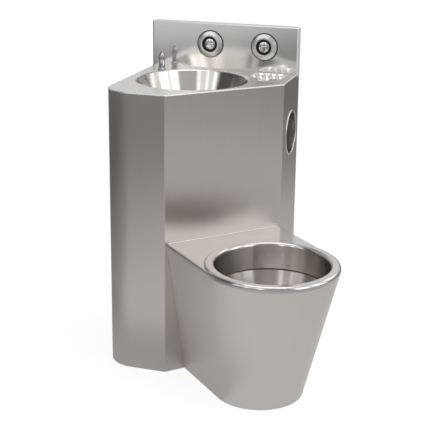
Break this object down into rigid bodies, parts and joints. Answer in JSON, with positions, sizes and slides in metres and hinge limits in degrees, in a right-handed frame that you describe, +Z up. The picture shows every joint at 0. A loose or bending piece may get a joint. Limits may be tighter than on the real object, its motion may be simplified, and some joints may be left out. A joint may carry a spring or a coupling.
{
  "type": "toilet and basin combination unit",
  "caption": "Stainless steel corner unit: a basin cabinet with splashback, soap dish and roll recess, and a skirted toilet pan on its diagonal front, worked by push buttons.",
  "frame": {"origin": "middle of the footprint, on the floor", "axes": "+Z up, +Y towards the wall behind the splashback, +X along the wall from the cabinet's rounded side to the pan's side"},
  "size_m": [0.7306, 0.7306, 1],
  "materials": {
    "satin_steel": "satin brushed stainless steel",
    "polished_steel": "polished stainless steel",
    "chrome": "bright chromium plate",
    "mill_steel": "plain stainless steel",
    "rubber": "black rubber",
    "brass": "plain brass",
    "copper": "plain copper",
    "valve_casting": "dark grey coated casting",
    "black_plastic": "black moulding",
    "blue_tube": "blue flexible tube",
    "red_lever": "red coated lever"
  },
  "bodies": {
    "unit": {"left_panel": "satin_steel", "front_panel": "satin_steel", "right_panel": "satin_steel", "basin_deck": "satin_steel", "splashback": "polished_steel", "basin_bowl": "polished_steel", "soap_dish": "satin_steel", "roll_holder": "satin_steel", "spout": "chrome", "spout_washer": "rubber", "spout_nut": "brass", "spout_tail": "copper", "tap_button_bezel": "chrome", "tap_button_gasket": "rubber", "tap_button_housing": "black_plastic", "tap_button_nut": "black_plastic", "tap_button_spring": "mill_steel", "flush_button_bezel": "chrome", "flush_button_gasket": "rubber", "flush_button_housing": "black_plastic", "flush_button_nut": "black_plastic", "flush_button_spring": "mill_steel", "basin_waste": "chrome", "waste_washer": "rubber", "waste_nut": "brass", "trap_nut": "mill_steel", "basin_trap": "mill_steel", "pan_deck": "satin_steel", "seat_ring": "polished_steel", "flushing_rim": "polished_steel", "pan_bowl": "polished_steel", "pan_skirt": "satin_steel", "left_gusset": "mill_steel", "right_gusset": "mill_steel", "soil_pipe": "mill_steel", "flush_pipe": "mill_steel", "flush_pipe_seal": "rubber", "flush_valve": "valve_casting", "tap_valve": "valve_casting", "flush_supply_pipe": "copper", "flush_link_pipe": "copper", "tap_supply_pipe": "copper", "flush_isolator_body": "brass", "tap_isolator_body": "brass", "flush_air_tube": "blue_tube", "tap_air_tube": "blue_tube", "upper_wall_rail": "mill_steel", "lower_wall_rail": "mill_steel", "left_floor_bracket": "mill_steel", "right_floor_bracket": "mill_steel"},
    "flush_button": {"flush_button": "chrome"},
    "tap_button": {"tap_button": "chrome"},
    "flush_isolator": {"flush_isolator_lever": "red_lever", "flush_isolator_ball": "chrome"},
    "tap_isolator": {"tap_isolator_lever": "red_lever", "tap_isolator_ball": "chrome"}
  },
  "joints": [
    {"name": "flush_button_press", "type": "slide", "parent": "unit", "child": "flush_button", "axis": [0, 1, 0], "range_m": [0, 0.005], "stiffness_N_per_m": 1500, "springref_m": -0.004, "deforming": ["flush_button_spring"]},
    {"name": "tap_button_press", "type": "slide", "parent": "unit", "child": "tap_button", "axis": [0, 1, 0], "range_m": [0, 0.005], "stiffness_N_per_m": 1500, "springref_m": -0.004, "deforming": ["tap_button_spring"]},
    {"name": "flush_isolator_turn", "type": "hinge", "parent": "unit", "child": "flush_isolator", "pos_m": [-0.09535, 0.31735, 0.594], "axis": [1, 0, 0], "range_deg": [0, 90]},
    {"name": "tap_isolator_turn", "type": "hinge", "parent": "unit", "child": "tap_isolator", "pos_m": [-0.31135, 0.31735, 0.616], "axis": [1, 0, 0], "range_deg": [0, 90]}
  ]
}
